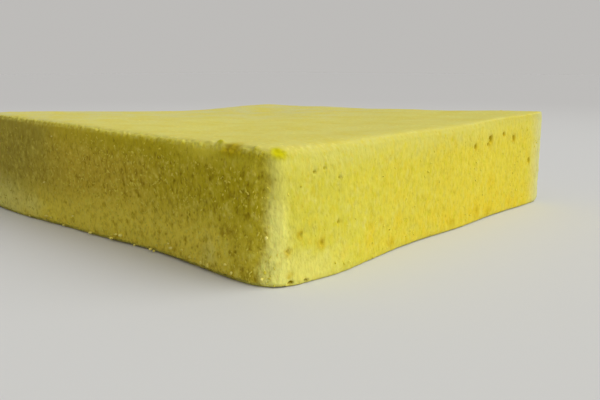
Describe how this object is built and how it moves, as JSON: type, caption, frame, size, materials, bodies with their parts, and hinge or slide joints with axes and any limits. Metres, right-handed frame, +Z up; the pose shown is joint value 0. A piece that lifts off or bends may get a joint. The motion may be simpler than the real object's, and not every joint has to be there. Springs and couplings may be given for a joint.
{
  "type": "chiffon cake",
  "caption": "Square block of plain uncut chiffon cake: smooth pale top, slightly sunken in the middle, open crumb walls with soft edges, and a flat base.",
  "frame": {"origin": "middle of the flat base, below the middle of the cake", "axes": "+Z up through the top; +X out of the right wall, +Y out of the back wall, so that the front wall faces -Y"},
  "size_m": [0.209, 0.2056, 0.0482],
  "materials": {
    "sponge": "soft, matte, open yellow crumb with a smooth fine-pored top"
  },
  "bodies": {
    "root": {"cake": "sponge"}
  },
  "joints": []
}
